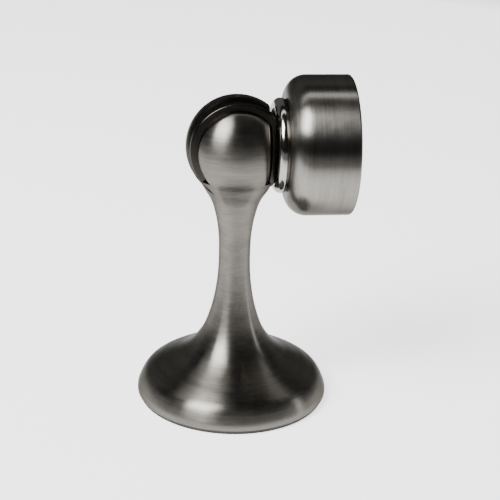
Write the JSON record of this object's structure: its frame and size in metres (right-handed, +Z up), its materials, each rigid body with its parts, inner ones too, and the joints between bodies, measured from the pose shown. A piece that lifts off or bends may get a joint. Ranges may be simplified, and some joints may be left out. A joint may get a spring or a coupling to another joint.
{
  "type": "floor door holder",
  "caption": "Floor door holder: a trumpet stand with a ball head that carries a tilting magnet cup, which holds a door open.",
  "frame": {"origin": "centre of the floor plate's screw circle, on the floor under the stem", "axes": "+Z up along the stem, +X along the cup's axis out of the magnet face at rest, the tongue's slot lies towards -Y"},
  "size_m": [0.0517, 0.048, 0.0825],
  "materials": {
    "satin_nickel": "brushed satin",
    "dark_nickel": "fine satin",
    "polished_nickel": "polished",
    "zinc_steel": "zinc plated",
    "black_steel": "black oxide",
    "soft_rubber": "matte",
    "white_nylon": "natural",
    "black_plastic": "fine grain",
    "magnet_grey": "sintered"
  },
  "bodies": {
    "stand": {"stand_casting": "satin_nickel", "floor_plate": "zinc_steel", "plate_stud": "zinc_steel", "floor_gasket": "soft_rubber", "lock_grub_screw": "black_steel", "pivot_screw": "zinc_steel", "pivot_cap": "satin_nickel", "front_washer": "white_nylon", "rear_washer": "white_nylon"},
    "head": {"hinge_tongue": "dark_nickel", "bead_ring": "polished_nickel", "cup_shell": "satin_nickel", "clamp_plate": "zinc_steel", "tongue_screws": "zinc_steel", "retaining_ring": "black_steel", "rim_bumper": "soft_rubber"},
    "magnet_insert": {"magnet_carrier": "black_plastic", "magnet_pot": "zinc_steel", "ring_magnet": "magnet_grey", "pot_spacer": "black_plastic", "carrier_screw": "zinc_steel", "buffer_ring": "soft_rubber"}
  },
  "joints": [
    {"name": "head_tilt", "type": "hinge", "parent": "stand", "child": "head", "pos_m": [0, 0, 0.0655], "axis": [0, -1, 0], "range_deg": [0, 90]},
    {"name": "magnet_buffer", "type": "slide", "parent": "head", "child": "magnet_insert", "axis": [1, 0, 0], "range_m": [-0.0015, 0], "stiffness_N_per_m": 1500, "springref_m": 0.002, "deforming": ["buffer_ring"]}
  ]
}
